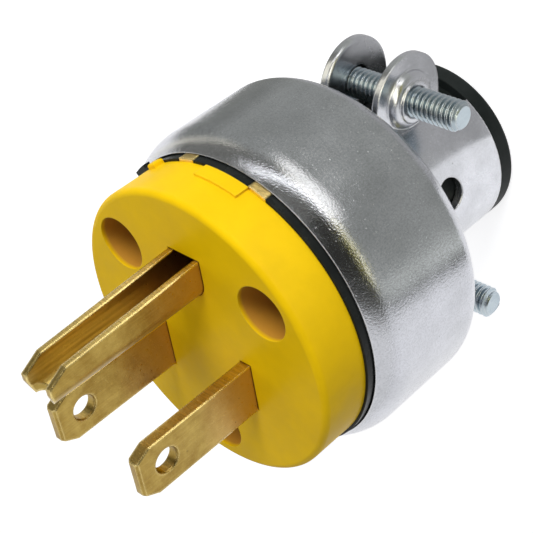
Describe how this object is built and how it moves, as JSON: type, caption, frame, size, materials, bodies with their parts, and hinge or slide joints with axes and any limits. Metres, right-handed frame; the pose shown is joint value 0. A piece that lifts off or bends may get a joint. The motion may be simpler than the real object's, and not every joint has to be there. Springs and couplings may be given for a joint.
{
  "type": "grounding power plug",
  "caption": "Round grounding power plug with flat brass pins, a U-shaped ground pin, a yellow face, a drawn steel shell and a screwed cord clamp.",
  "frame": {"origin": "centre of the plug's flat face, where the pins leave it", "axes": "+Z out of the face along the pins, +Y from the flat pins towards the ground pin, +X across the two flat pins"},
  "size_m": [0.0384, 0.0384, 0.0608],
  "materials": {
    "yellow_body": "smooth moulded, glossy",
    "black_body": "smooth moulded, glossy",
    "brass_pins": "stamped strip, handled",
    "brass_strap": "stamped strip",
    "shell_plate": "drawn steel, satin nickel plate",
    "clamp_plate": "stamped steel, bright zinc plate",
    "screw_zinc": "bright zinc plate",
    "terminal_screws": "plated",
    "rubber": "moulded, satin",
    "sleeve": "rolled sheet, matte"
  },
  "bodies": {
    "root": {"assembly_screw_left": "screw_zinc", "assembly_screw_lower": "screw_zinc", "assembly_screw_right": "screw_zinc", "clamp_half_left": "clamp_plate", "clamp_half_right": "clamp_plate", "clamp_screw_lower": "screw_zinc", "clamp_screw_upper": "screw_zinc", "cord_bushing": "rubber", "front_body": "yellow_body", "ground_pin": "brass_pins", "ground_strap": "brass_strap", "ground_terminal_screw": "terminal_screws", "insulating_sleeve": "sleeve", "line_blade": "brass_pins", "line_terminal_screw": "terminal_screws", "neutral_blade": "brass_pins", "neutral_terminal_screw": "terminal_screws", "rear_body": "black_body", "shell": "shell_plate"}
  },
  "joints": []
}
